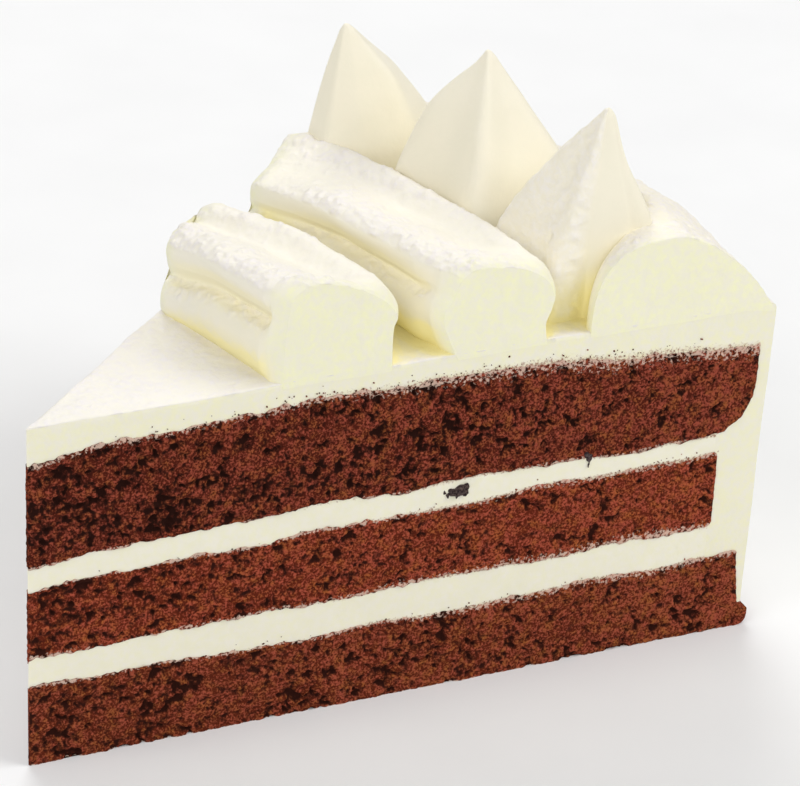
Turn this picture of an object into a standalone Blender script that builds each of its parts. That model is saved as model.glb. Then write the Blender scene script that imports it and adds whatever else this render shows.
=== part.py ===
"""A slice of three-layer chocolate sponge cake, filled, coated and piped with whipped cream.

The slice stands on its bottom sponge with its point towards -X and its round rim towards +X. Every shape is
worked out in polar form round the cake's centre: r outwards, v from 0 at the near cut to 1 at the far cut.
"""
import math

import bmesh
import bpy
from mathutils import Vector, noise

MM = 0.001

# The slice
SLICE_RADIUS = 110.5 * MM
SLICE_ANGLE = math.radians(43)
TIP_RADIUS = 0.5 * MM  # the point is a little blunt
GAP = 0.3 * MM  # air between two pieces that touch
HALF_GAP = GAP / 2
CENTRE_X = -(SLICE_RADIUS + TIP_RADIUS * math.cos(SLICE_ANGLE / 2)) / 2

# Heights of the faces between layers: at the point, half-way out and at the rim
BASE = (0, 0, 0)
BOTTOM_SPONGE_TOP = (12.8 * MM, 12.0 * MM, 13.0 * MM)
MIDDLE_SPONGE_BOTTOM = (16.9 * MM, 17.6 * MM, 18.0 * MM)
MIDDLE_SPONGE_TOP = (27.8 * MM, 29.0 * MM, 30.2 * MM)
TOP_SPONGE_BOTTOM = (31.2 * MM, 32.9 * MM, 32.3 * MM)
TOP_SPONGE_TOP = (46.6 * MM, 49.3 * MM, 45.6 * MM)
COAT_TOP = (52.0 * MM, 52.6 * MM, 52.8 * MM)
WAVE_HEIGHT = 0.35 * MM  # the faces between layers are gently uneven
COAT_CALM = 0.35  # the top of the cream is this much calmer
WAVES = (
    dict(length=31 * MM, share=0.6, turn=1.9, skew=2.1),
    dict(length=17 * MM, share=0.4, turn=4.3, skew=-2.6),
)

# Where the sponges and the fillings end under the cream at the rim
BOTTOM_SPONGE_RADIUS = 107.7 * MM
FOOT_RADIUS = 110.4 * MM
FOOT_HEIGHT = 3.8 * MM
FOOT_ROUNDING = 1.2 * MM
MIDDLE_SPONGE_RADIUS = 103.0 * MM
TOP_SPONGE_RADIUS = 108.2 * MM
TOP_SPONGE_CORNER = (7.6 * MM, 8.6 * MM)  # its lower edge is rounded this far in and up
SOFT_CORNER = 1.1 * MM
COAT_CORNER = 0.4 * MM
COAT_TAPER = 1.2 * MM  # the wall of cream is this much nearer the centre at its foot
FILLING_RADIUS = 103.0 * MM

# How finely each piece is cut up
ROUND_STEPS = 8  # from one cut face to the other
RADIAL_STEPS = 26
BOTTOM_LEVELS = (0, 0.1, 0.25, 0.31, 0.65, 1)
MIDDLE_LEVELS = (0, 0.1, 0.5, 0.9, 1)
TOP_LEVELS = (0, 0.1, 0.25, 0.5, 0.75, 1)
FILLING_LEVELS = (0, 1)
COAT_LEVELS = (0.85, 0.6, 0.4, 0.2, 0.08)  # where the wall of cream follows the end of the top sponge
EDGE_ANGLE = math.radians(50)  # sharper edges are shaded as edges
CRUMB_RELIEF = 0.35 * MM
CRUMB_SIZE = 5.5 * MM

# Piped ropes of cream: radius of the middle at the near cut and the far cut, half width, height at the near
# cut, how much lower the far end is, and how much the top slopes down outwards at the near cut
INNER_ROPE = dict(near=44.4 * MM, far=47.8 * MM, half_width=8.9 * MM, height=12.6 * MM, dip=2 * MM, tilt=0.17)
OUTER_ROPE = dict(near=67.4 * MM, far=71.7 * MM, half_width=8.7 * MM, height=11.8 * MM, dip=1.2 * MM, tilt=0)
ROPE_SAG = 2.2 * MM  # how far the middle lies inside a ring through both ends
ROPE_GROOVES = (  # angle round the rope, depth as a share of the radius, width in degrees
    (33, 0.13, 8),
    (92, 0.05, 16),
    (150, 0.19, 9),
)
GROOVE_END = (0.05, 0.20)  # the grooves run out over this share of the slice, towards the near cut
ROPE_SIDES = 28
ROPE_STEPS = 16
ROPE_BOXINESS = 0.62  # power of the outline: 1 is an ellipse, less is squarer

# The border along the rim
BORDER_OUTER = 110.0 * MM
BORDER_INNER_AT_CUT = 80.6 * MM
BORDER_INNER = 94.6 * MM
BORDER_CREST_AT_CUT = 93.5 * MM
BORDER_CREST = 97.0 * MM
BORDER_HEIGHT = 12.6 * MM
BORDER_NOTCH = (0.02, 0.2)  # shares of the slice between which the border narrows, behind the front peak
BORDER_SLOPE = 1.7  # power of its outer side: 1 is straight, more is rounder

# Three pulled peaks between the outer rope and the border. Each tip lies at a radius, a share of the slice
# and a height, and four ridges run down from it, in directions in degrees from the line outwards through the
# tip. The slopes say how far out each ridge starts off for every millimetre down.
PEAKS = {
    "cream_peak_front": dict(
        radius=85.4 * MM, v=0.128, top=82.3 * MM, ridges=(135, 195, 315, 405), slopes=(1.07, 0.56, 0.82, 0.8)
    ),
    "cream_peak_middle": dict(
        radius=84.3 * MM, v=0.507, top=82.5 * MM, ridges=(135, 225, 315, 405), slopes=(0.92, 0.9, 0.97, 0.8)
    ),
    "cream_peak_back": dict(
        radius=83.4 * MM, v=0.893, top=80 * MM, ridges=(135, 255, 315, 405), slopes=(0.5, 0.96, 1.24, 0.8)
    ),
}
PEAK_STEEPENING = 45 * MM  # the ridges steepen on their way down: this far down they reach half as far out
PEAK_FENCES = (0.004, 0.31, 0.70, 0.996)  # planes through the cake's centre that part the peaks
PEAK_HOLLOW = 0.10  # the faces between the ridges are hollow by this share
PEAK_TIP_ROUNDING = 0.5 * MM
PEAK_CLEARANCE = 0.03  # share of the slice by which a peak keeps clear of the border's narrowing
PEAK_SIDES = 24
PEAK_STEPS = 9

# Colours, as linear red, green and blue
SPONGE_COLOUR = (0.16, 0.045, 0.022)
FILLING_COLOUR = (0.86, 0.82, 0.68)
COAT_COLOUR = (0.88, 0.85, 0.72)
PIPED_COLOUR = (0.92, 0.88, 0.77)
SPONGE_ROUGHNESS = 0.9
CREAM_ROUGHNESS = 0.6


def at_share(values, share):
    """The smooth curve through three values, given at shares 0, 0.5 and 1 of the radius."""
    low, middle, high = values
    bend = 2 * (low + high - 2 * middle)
    return low + (high - low - bend) * share + bend * share * share


def face_height(values, r, v):
    """Height of a face between two layers at radius r and place v, with its gentle waves."""
    if values == BASE:
        return 0.0
    seed = values[1] / MM
    swing = 0.0
    for wave in WAVES:
        along = 2 * math.pi * r / wave["length"]
        swing += wave["share"] * math.sin(along + wave["turn"] * seed + wave["skew"] * v)
    calm = COAT_CALM if values == COAT_TOP else 1
    return at_share(values, r / SLICE_RADIUS) + calm * WAVE_HEIGHT * swing


def place(r, v, z):
    """A point in the slice's own frame from its polar form."""
    angle = (v - 0.5) * SLICE_ANGLE
    return Vector((CENTRE_X + r * math.cos(angle), r * math.sin(angle), z))


def smooth(value, low, high):
    """0 below low, 1 above high, and an even curve between."""
    share = min(1.0, max(0.0, (value - low) / (high - low)))
    return share * share * (3 - 2 * share)


def material(name, colour, roughness):
    """A Principled material of one colour."""
    made = bpy.data.materials.new(name)
    made.use_nodes = True
    shader = made.node_tree.nodes["Principled BSDF"]
    shader.inputs["Base Color"].default_value = (*colour, 1)
    shader.inputs["Roughness"].default_value = roughness
    shader.inputs["Metallic"].default_value = 0
    return made


def finish(shape, name, look):
    """Turns the bmesh into a named object, with its faces pointing out."""
    bmesh.ops.recalc_face_normals(shape, faces=shape.faces)
    if shape.calc_volume(signed=True) < 0:
        bmesh.ops.reverse_faces(shape, faces=shape.faces)
    mesh = bpy.data.meshes.new(name)
    shape.to_mesh(mesh)
    shape.free()
    mesh.shade_smooth()
    mesh.set_sharp_from_angle(angle=EDGE_ANGLE)
    mesh.materials.append(look)
    made = bpy.data.objects.new(name, mesh)
    bpy.context.scene.collection.objects.link(made)
    return made


def block(counts):
    """A unit cube from 0 to 1, cut into counts pieces along X, Y and Z."""
    shape = bmesh.new()
    bmesh.ops.create_cube(shape, size=1)
    bmesh.ops.translate(shape, vec=(0.5, 0.5, 0.5), verts=shape.verts)
    for axis, count in enumerate(counts):
        along = [e for e in shape.edges if abs(e.verts[0].co[axis] - e.verts[1].co[axis]) > 1e-6]
        if count > 1:
            bmesh.ops.subdivide_edges(shape, edges=along, cuts=count - 1, use_grid_fill=True)
    return shape


def crumble(shape, seed):
    """Uneven crumb on the two cut faces: each point of a cut moves a little in or out."""
    for vert in shape.verts:
        x, v, z = vert.co
        if v in (0, 1):
            spot = Vector((x * SLICE_RADIUS, z * BOTTOM_SPONGE_TOP[2], (seed + v) * SLICE_RADIUS))
            vert.co.y += CRUMB_RELIEF * noise.noise(spot / CRUMB_SIZE) / (SLICE_ANGLE * SLICE_RADIUS)


def layer(name, look, bottom, top, end_radius, levels, crumb_seed=None):
    """A sponge or a filling between two faces, running from the point to end_radius(share of its height)."""
    steps = len(levels) - 1
    shape = block((RADIAL_STEPS, ROUND_STEPS, steps))
    if crumb_seed is not None:
        crumble(shape, crumb_seed)
    for vert in shape.verts:
        u, v, w = vert.co
        level = levels[round(w * steps)]
        r = TIP_RADIUS + (end_radius(level) - TIP_RADIUS) * u
        low = face_height(bottom, r, v) + (HALF_GAP if bottom != BASE else 0)
        high = face_height(top, r, v) - HALF_GAP
        vert.co = place(r, v, low + (high - low) * level)
    return finish(shape, name, look)


def round_corner(inset, share):
    """How far a rounded corner lies in, at a share of its height: all of inset at 0 and nothing from 1 on."""
    return inset * (1 - math.sqrt(1 - (1 - min(1.0, share)) ** 2))


def bottom_end(level):
    """The bottom sponge spreads into a round-edged foot below the cream."""
    height = level * BOTTOM_SPONGE_TOP[2]
    foot = 1 - smooth(height, FOOT_HEIGHT - 0.6 * MM, FOOT_HEIGHT)
    spread = (FOOT_RADIUS - BOTTOM_SPONGE_RADIUS) * foot
    return BOTTOM_SPONGE_RADIUS + spread - round_corner(FOOT_ROUNDING, height / FOOT_ROUNDING)


def middle_end(level):
    """The middle sponge ends in two softly rounded corners."""
    thickness = MIDDLE_SPONGE_TOP[2] - MIDDLE_SPONGE_BOTTOM[2]
    return MIDDLE_SPONGE_RADIUS - round_corner(SOFT_CORNER, min(level, 1 - level) * thickness / SOFT_CORNER)


def top_end(level):
    """The top sponge has a wide round lower corner, as it lay in its tin."""
    inwards, upwards = TOP_SPONGE_CORNER
    height = level * (TOP_SPONGE_TOP[2] - TOP_SPONGE_BOTTOM[2])
    return TOP_SPONGE_RADIUS - round_corner(inwards, height / upwards)


def filling_end(_level):
    """A filling runs straight out to the cream at the rim, where both meet."""
    return FILLING_RADIUS


def coat_inner(v):
    """Points down the inner side of the wall of cream, from the top sponge's upper corner to the foot."""
    points = []
    for level in COAT_LEVELS:
        r = top_end(level) + GAP
        low = face_height(TOP_SPONGE_BOTTOM, r, v) - HALF_GAP
        high = face_height(TOP_SPONGE_TOP, r, v) + HALF_GAP
        points.append((r, low + (high - low) * level))
    inside = FILLING_RADIUS + GAP
    corner = face_height(TOP_SPONGE_BOTTOM, inside, v) - HALF_GAP
    ledge = face_height(BOTTOM_SPONGE_TOP, inside, v) + HALF_GAP
    points += [(inside, corner), (inside, (corner + ledge) / 2), (inside, ledge)]
    outside = BOTTOM_SPONGE_RADIUS + GAP
    points.append((outside, face_height(BOTTOM_SPONGE_TOP, outside, v) + HALF_GAP))
    points.append((outside, FOOT_HEIGHT + GAP))
    return points


def coat_outer(share, v):
    """A point on the outer side of the wall of cream, at a share of the way down."""
    foot = FOOT_HEIGHT + GAP
    top = face_height(COAT_TOP, SLICE_RADIUS, v)
    return SLICE_RADIUS - COAT_TAPER * share, top + (foot - top) * share


def coat(look):
    """The cream over the top and down the rim: a band folded over the rim's corner, from cut to cut."""
    wall_steps = len(coat_inner(0))
    steps = RADIAL_STEPS + wall_steps
    shape = block((steps, ROUND_STEPS, 1))
    for vert in shape.verts:
        u, v, w = vert.co
        step = round(u * steps)
        if step <= RADIAL_STEPS:
            share = step / RADIAL_STEPS
            inner_r = TIP_RADIUS + (TOP_SPONGE_RADIUS + GAP - TIP_RADIUS) * share
            inner_z = face_height(TOP_SPONGE_TOP, inner_r, v) + HALF_GAP
            outer_r = TIP_RADIUS + (SLICE_RADIUS - COAT_CORNER - TIP_RADIUS) * share
            outer_z = face_height(COAT_TOP, outer_r, v)
        else:
            inner_r, inner_z = coat_inner(v)[step - RADIAL_STEPS - 1]
            outer_r, outer_z = coat_outer((step - RADIAL_STEPS) / wall_steps, v)
        vert.co = place(inner_r + (outer_r - inner_r) * w, v, inner_z + (outer_z - inner_z) * w)
    return finish(shape, "cream_coat", look)


def tube_stock(sides, steps):
    """A closed unit cylinder from z 0 to 1, cut into steps along its length."""
    shape = bmesh.new()
    bmesh.ops.create_cone(shape, cap_ends=True, segments=sides, radius1=1, radius2=1, depth=1)
    bmesh.ops.translate(shape, vec=(0, 0, 0.5), verts=shape.verts)
    along = [e for e in shape.edges if abs(e.verts[0].co.z - e.verts[1].co.z) > 0.5]
    bmesh.ops.subdivide_edges(shape, edges=along, cuts=steps - 1)
    return shape


def groove_depth(angle):
    """How deep the nozzle's grooves are at an angle round a rope, as a share of its radius."""
    return sum(depth * math.exp(-(((angle - middle) / width) ** 2)) for middle, depth, width in ROPE_GROOVES)


def box_outline(angle):
    """Across and up, from 0 to 1, on a squarish half round over a flat base, at an angle in degrees."""
    across = math.cos(math.radians(angle))
    up = math.sin(math.radians(angle))
    if up <= 0:
        return across, 0.0
    return math.copysign(abs(across) ** ROPE_BOXINESS, across), up ** ROPE_BOXINESS


def ring_middle(near, far, v):
    """Radius of a rope's middle line: it lies inside a ring through both its ends."""
    return near + (far - near) * v - ROPE_SAG * 4 * v * (1 - v)


def rope(name, look, near, far, half_width, height, dip, tilt):
    """A rope of cream from cut to cut, whose outline always lies in a plane through the cake's centre."""
    shape = tube_stock(ROPE_SIDES, ROPE_STEPS)
    for vert in shape.verts:
        v = vert.co.z
        angle = math.degrees(math.atan2(vert.co.y, vert.co.x))
        across, up = box_outline(angle)
        shrink = 1 - groove_depth(angle) * smooth(v, *GROOVE_END) if up > 0 else 1
        tall = (height - dip * v) * (1 - tilt * (1 - v) * across)
        r = ring_middle(near, far, v) + across * shrink * half_width
        vert.co = place(r, v, face_height(COAT_TOP, r, v) + GAP + up * shrink * tall)
    return finish(shape, name, look)


def border_inner(v):
    """Inner side of the border: wide at the near cut, narrow behind the peaks."""
    return BORDER_INNER_AT_CUT + (BORDER_INNER - BORDER_INNER_AT_CUT) * smooth(v, *BORDER_NOTCH)


def border(look):
    """The cream border along the rim, steep inside and gently sloping outside."""
    shape = tube_stock(ROPE_SIDES, ROPE_STEPS * 2)
    for vert in shape.verts:
        v = vert.co.z
        across, up = box_outline(math.degrees(math.atan2(vert.co.y, vert.co.x)))
        inner = border_inner(v)
        crest = BORDER_CREST_AT_CUT + (BORDER_CREST - BORDER_CREST_AT_CUT) * smooth(v, *BORDER_NOTCH)
        if across > 0:
            r = crest + across * (BORDER_OUTER - crest)
            rise = 1 - across ** BORDER_SLOPE if up > 0 else 0
        else:
            r = crest + across * (crest - inner)
            rise = up
        vert.co = place(r, v, face_height(COAT_TOP, r, v) + GAP + rise * BORDER_HEIGHT)
    return finish(shape, "cream_border", look)


def ridge_reach(angle, ridges, slopes):
    """How far out a peak's face is for each millimetre down: a little hollow from ridge to ridge."""
    angle = ridges[0] + (angle - ridges[0]) % 360
    side = sum(angle >= ridge for ridge in ridges[1:])
    first, last = (*ridges, ridges[0] + 360)[side:side + 2]
    here, after = slopes[side], slopes[(side + 1) % len(slopes)]
    from_here = math.sin(math.radians(angle - first))
    to_after = math.sin(math.radians(last - angle))
    chord = here * after * math.sin(math.radians(last - first)) / (here * from_here + after * to_after)
    return chord * (1 - PEAK_HOLLOW * math.sin(math.pi * (angle - first) / (last - first)) ** 2)


def peak(name, look, fences, radius, v, top, ridges, slopes):
    """A peak pulled up to a point, with four ridges, and pressed against what is beside it."""
    shape = bmesh.new()
    bmesh.ops.create_cone(shape, cap_ends=True, segments=PEAK_SIDES, radius1=1, radius2=0, depth=1)
    rising = [e for e in shape.edges if abs(e.verts[0].co.z - e.verts[1].co.z) > 0.5]
    bmesh.ops.subdivide_edges(shape, edges=rising, cuts=PEAK_STEPS - 1)
    height = top - face_height(COAT_TOP, radius, v) - GAP
    edge = HALF_GAP / (radius * SLICE_ANGLE)
    for vert in shape.verts:
        down = 0.5 - vert.co.z
        drop = down * height
        angle = math.atan2(vert.co.y, vert.co.x)
        out = ridge_reach(math.degrees(angle), ridges, slopes) * drop / (1 + drop / PEAK_STEEPENING)
        out += PEAK_TIP_ROUNDING * min(1, down * PEAK_STEPS)
        at_v = v + out * math.sin(angle) / (radius * SLICE_ANGLE)
        at_v = min(max(at_v, fences[0] + edge), fences[1] - edge)
        rope_side = ring_middle(OUTER_ROPE["near"], OUTER_ROPE["far"], at_v) + OUTER_ROPE["half_width"]
        border_side = border_inner(at_v - PEAK_CLEARANCE)
        r = min(max(radius + out * math.cos(angle), rope_side + GAP), border_side - GAP)
        floor = face_height(COAT_TOP, r, at_v) + GAP
        vert.co = place(r, at_v, floor + (1 - down) * (top - floor))
    return finish(shape, name, look)


def build():
    """The whole slice."""
    for old in list(bpy.data.objects):
        bpy.data.objects.remove(old)
    sponge = material("chocolate_sponge", SPONGE_COLOUR, SPONGE_ROUGHNESS)
    filling = material("filling_cream", FILLING_COLOUR, CREAM_ROUGHNESS)
    coat_cream = material("coat_cream", COAT_COLOUR, CREAM_ROUGHNESS)
    piped_cream = material("piped_cream", PIPED_COLOUR, CREAM_ROUGHNESS)

    layer("sponge_bottom", sponge, BASE, BOTTOM_SPONGE_TOP, bottom_end, BOTTOM_LEVELS, 1)
    layer("filling_lower", filling, BOTTOM_SPONGE_TOP, MIDDLE_SPONGE_BOTTOM, filling_end, FILLING_LEVELS)
    layer("sponge_middle", sponge, MIDDLE_SPONGE_BOTTOM, MIDDLE_SPONGE_TOP, middle_end, MIDDLE_LEVELS, 2)
    layer("filling_upper", filling, MIDDLE_SPONGE_TOP, TOP_SPONGE_BOTTOM, filling_end, FILLING_LEVELS)
    layer("sponge_top", sponge, TOP_SPONGE_BOTTOM, TOP_SPONGE_TOP, top_end, TOP_LEVELS, 3)
    coat(coat_cream)
    rope("cream_rope_inner", piped_cream, **INNER_ROPE)
    rope("cream_rope_outer", piped_cream, **OUTER_ROPE)
    border(piped_cream)
    for order, (name, sizes) in enumerate(PEAKS.items()):
        peak(name, piped_cream, PEAK_FENCES[order:order + 2], **sizes)


build()
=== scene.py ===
"""Looks of a slice of three-layer chocolate sponge cake, filled, coated and piped with whipped cream.

The slice has its point towards -X and its round rim towards +X. Shapes are worked out in polar form round the
cake's centre: r outwards, v from 0 at the near cut to 1 at the far cut, and z up. All lengths are in metres.
"""

import math

import bmesh
import bpy
import numpy as np
from mathutils import Euler, Matrix, Vector


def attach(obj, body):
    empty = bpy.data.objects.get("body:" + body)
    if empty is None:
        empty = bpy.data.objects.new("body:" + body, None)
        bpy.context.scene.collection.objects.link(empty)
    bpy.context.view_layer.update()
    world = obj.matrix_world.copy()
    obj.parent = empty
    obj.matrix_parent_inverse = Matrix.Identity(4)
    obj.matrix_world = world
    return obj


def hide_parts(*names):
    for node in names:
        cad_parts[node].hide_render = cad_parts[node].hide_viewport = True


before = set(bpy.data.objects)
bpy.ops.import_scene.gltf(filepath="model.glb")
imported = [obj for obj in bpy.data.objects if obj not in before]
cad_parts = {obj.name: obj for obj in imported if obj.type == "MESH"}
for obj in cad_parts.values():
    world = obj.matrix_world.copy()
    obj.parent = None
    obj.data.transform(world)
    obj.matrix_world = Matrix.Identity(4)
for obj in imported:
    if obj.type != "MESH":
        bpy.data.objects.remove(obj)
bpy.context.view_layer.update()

MM = 0.001

# The slice, as in the CAD
SLICE_RADIUS = 110.5 * MM
SLICE_ANGLE = math.radians(43)
TIP_RADIUS = 0.5 * MM
CENTRE_X = -(SLICE_RADIUS + TIP_RADIUS * math.cos(SLICE_ANGLE / 2)) / 2

# Heights of the faces between layers: at the point, half-way out and at the rim
BASE = (0, 0, 0)
BOTTOM_SPONGE_TOP = (12.8 * MM, 12 * MM, 13 * MM)
MIDDLE_SPONGE_BOTTOM = (16.9 * MM, 17.6 * MM, 18 * MM)
MIDDLE_SPONGE_TOP = (27.8 * MM, 29 * MM, 30.2 * MM)
TOP_SPONGE_BOTTOM = (31.2 * MM, 32.9 * MM, 32.3 * MM)
TOP_SPONGE_TOP = (46.6 * MM, 49.3 * MM, 45.6 * MM)
COAT_TOP = (52 * MM, 52.6 * MM, 52.8 * MM)
WAVE_HEIGHT = 0.35 * MM
COAT_CALM = 0.35
WAVES = ((31 * MM, 0.6, 1.9, 2.1), (17 * MM, 0.4, 4.3, -2.6))  # length, share, turn by the seed, and skew

# Where the sponges and the fillings end under the cream at the rim
BOTTOM_SPONGE_RADIUS = 107.7 * MM
FOOT_RADIUS = 110.4 * MM
FOOT_HEIGHT = 3.8 * MM
FOOT_ROUNDING = 1.7 * MM
FOOT_SHOULDER = (FOOT_HEIGHT - 1.3 * MM, FOOT_HEIGHT + 0.3 * MM)
BOTTOM_SPONGE_CORNER = 0.5 * MM
FOOT_SPREAD = 1.1 * MM  # the bottom sponge widens this much towards its foot
MIDDLE_SPONGE_RADIUS = 103 * MM
TOP_SPONGE_RADIUS = 108.2 * MM
TOP_SPONGE_CORNER = (7.6 * MM, 8.6 * MM)
SOFT_CORNER = 1.1 * MM
COAT_CORNER = 1.1 * MM
COAT_TAPER = 1.2 * MM
FILLING_RADIUS = 103 * MM

# How the pieces are pressed together
BITE = 0.45 * MM  # cream reaches this far into the uneven edge of a sponge
COAT_RECESS = 0.12 * MM  # the knife leaves the cream a touch behind the crumb
FILLING_RECESS = 0.13 * MM
PIPED_RECESS = 0.08 * MM
PIPED_FOOT = 0.8 * MM  # piped cream sinks this far into the coat
ROPE_ROUNDING = (2.6 * MM, 0.8 * MM)  # of a rope beside a cut: how far along, and in
CUT_ROUNDING = (0.6 * MM, 0.22 * MM)  # of other cream
CREAM_EDGE = 50  # degrees: sharper edges of the cream stay sharp
AT_CUT = 0.001  # points within this share of the slice lie in a cut

# How much closer together a piece's points lie beside the cuts
LAYER_CROWDING = 0.6
ROPE_CROWDING = 0.75
BORDER_CROWDING = 0.7

# Ragged edges of the sponges: depth and size of each swell, and its own seed
RAGGED = (
    (0.17 * MM, 0.5 * MM, 54), (0.22 * MM, 0.9 * MM, 51), (0.38 * MM, 2 * MM, 53), (0.26 * MM, 4.2 * MM, 52),
)
RAGGED_MARGIN = 0.06 * MM  # they stay this far short of where the cream ends

# Open crumb: four sizes of swells, coarse to fine, and each one's share in its body and its relief
CRUMB_BEND = (0.3 * MM, 1.2 * MM)
CRUMB_FLATNESS = np.array([0.9, 0.9, 1.15])
CRUMB_SIZES = (2.6 * MM, 1.15 * MM, 0.75 * MM, 0.42 * MM)
CRUMB_BODY = (0.34, 0.42, 0.3, 0.16)
CRUMB_LIFT = (0, 0.08 * MM, 0.1 * MM, 0.11 * MM)
CRUMB_SAG = (0.12 * MM, 7 * MM)
PORE_DEPTH = 0.42 * MM
PITS = (4.4 * MM, 0.3, 0.1, 0.13, 0.5 * MM)  # how far apart, which share is open, least reach and more, and depth
INSIDE_DEPTH = (0.02 * MM, 1.2 * MM)  # how deep pores are at the edge of a cut, and how much deeper inside it
# A darker band of crumb a little above a sponge's bottom, near the point:
DARKER_BAND = ((0.06, 0.16), (0.34, 0.62), (50 * MM, 80 * MM))  # where it begins and ends upwards, and ends outwards
FROST_SPREAD = (0.45, (25 * MM, 85 * MM))  # flecks of cream reach less far near the point
SMEAR_SPREAD = (0.35, (25 * MM, 70 * MM))  # and so does the fine crumb on the cream

# Icing sugar: its patches and its grains, as a share and a size
SUGAR_SLOPES = (0.35, 0.75)
SUGAR_PATCH = 3.2 * MM
SUGAR_GRAINS = ((0.65, 0.62 * MM, 0), (0.85, 1.05 * MM, 3), (0.7, 2.1 * MM, 1))

# Painted shade where cream lies between walls: a map of heights, how far it is searched, and what slopes make a wall
MAP_CELL = 0.5 * MM
MAP_EDGE = 24  # cells
MAP_REACHES = (2, 3.5, 6, 10, 15)  # cells
WALL_SLOPES = (0.9, 2.4)
WALL_GAIN = 1.35
# Painted shade stays above this height
PAINTED_SHADE_ABOVE = 50.5 * MM

# Piped ropes of cream: radius of the middle line at both cuts and half the width
INNER_ROPE = dict(near=44.4 * MM, far=47.8 * MM, half_width=8.9 * MM)
OUTER_ROPE = dict(near=67.4 * MM, far=71.7 * MM, half_width=8.7 * MM)
ROPE_SAG = 2.2 * MM

# Sections of the ropes, in mm outwards from the middle line and up from the coat: outer foot, outer lobe (3),
# outer crest, hollow, inner crest (2), flank of the upper lobe (2), groove, lower lobe (3), inner foot.
# Each stands at a share of the slice, from the near cut to the far cut.
INNER_SECTIONS = {
    0: ((8, 0), (7.9, 3.4), (8, 6.2), (8.5, 8.2), (6.6, 10.7), (2.6, 13.3), (-1.8, 14.9), (-5.6, 15.1),
        (-8, 13.6), (-8.6, 11.4), (-8.9, 9.4), (-9.1, 7.6), (-9.2, 5.2), (-9.3, 2.4), (-9.3, 0)),
    0.055: ((8.2, 0), (8.2, 3.4), (8.6, 6.2), (8.8, 8.6), (6.6, 11.4), (2.4, 12.6), (-1.8, 14.2), (-6.2, 14.8),
        (-9.2, 13.3), (-9.5, 10.9), (-9.5, 9.2), (-10, 7.4), (-10.2, 4.8), (-9.9, 2.2), (-9.5, 0)),
    0.11: ((8.3, 0), (8.6, 3.2), (8.8, 6.2), (8.4, 9.2), (5.6, 12.3), (1, 11.5), (-3.4, 13.4), (-7.6, 14),
        (-10, 12.5), (-9, 9.7), (-7.9, 8), (-9.9, 7.1), (-10.6, 4.6), (-10.2, 1.8), (-8.9, 0)),
    0.5: ((8.4, 0), (9, 3), (9.2, 6.4), (8.4, 9.6), (5.2, 12.5), (0.8, 10.8), (-3.4, 12.3), (-7.2, 13.2),
        (-9.8, 11.9), (-8.8, 9.2), (-7.8, 7.3), (-9.9, 6.5), (-10.9, 4.2), (-10.4, 1.5), (-8.8, 0)),
    1: ((9.4, 0), (9.8, 2.6), (9.6, 5.6), (8.2, 8.6), (3.4, 11.2), (0.2, 9.6), (-2.6, 10.6), (-5.2, 11.2),
        (-8.4, 9.8), (-8.2, 7), (-7.4, 4.8), (-9, 4), (-10.3, 2.5), (-10.3, 1), (-9.3, 0)),
}
OUTER_SECTIONS = {
    0: ((8, 0), (7.6, 2.6), (8.4, 5), (8.8, 7.4), (7, 10.2), (3.6, 12.2), (-0.6, 13.4), (-4.2, 13.6),
        (-6.6, 12.4), (-7.4, 10.4), (-8, 9.2), (-9.1, 7.6), (-9.2, 5.4), (-8.2, 2.8), (-6.6, 0)),
    0.055: ((8.2, 0), (8.2, 2.6), (8.7, 5), (8.9, 7.6), (7, 10.8), (3.2, 11.8), (-1, 12.9), (-5, 13.4),
        (-7.8, 12.2), (-8.4, 10), (-8.6, 8.8), (-9.4, 7.2), (-9.4, 4.8), (-8.4, 2.2), (-7, 0)),
    0.17: ((8.3, 0), (8.6, 2.8), (8.8, 5.4), (8.4, 8.4), (5.6, 12), (1.2, 10.9), (-3, 12.3), (-7, 13.1),
        (-9.2, 11.8), (-8.8, 9.2), (-8, 7.6), (-9.3, 6.4), (-10, 4.2), (-9.5, 1.7), (-7.9, 0)),
    0.5: ((8.4, 0), (8.8, 2.8), (8.9, 5.6), (8.2, 8.8), (5, 12), (0.8, 10.4), (-3.4, 11.6), (-7.2, 12.4),
        (-9.8, 11.1), (-8.8, 8.4), (-7.5, 6.8), (-9.8, 5.9), (-10.7, 3.7), (-10, 1.3), (-8, 0)),
    1: ((12.2, 0), (12.3, 3), (11.9, 6), (10.6, 8.6), (7.6, 10.8), (4, 9.8), (0.6, 8.6), (-2.2, 8.3),
        (-5.4, 7.6), (-5.8, 5.4), (-5.2, 3.7), (-6.8, 2.9), (-7.8, 1.8), (-7.5, 0.8), (-6.4, 0)),
}

# The border along the rim
BORDER_OUTER = 110.3 * MM
BORDER_INNER_AT_CUT = 81.3 * MM
BORDER_INNER = 94.6 * MM
BORDER_CREST_AT_CUT = 93.5 * MM
BORDER_CREST = 97 * MM
BORDER_HEIGHT = 12.6 * MM
BORDER_BOXINESS = 0.7
BORDER_DROP = 0.11  # the border is lower by this share behind the back peaks
BORDER_NOTCH = (0.02, 0.2)
BORDER_SLOPE = 1.7
BORDER_FLOOR = 0.6 * MM  # its outer foot lies this much deeper

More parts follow.
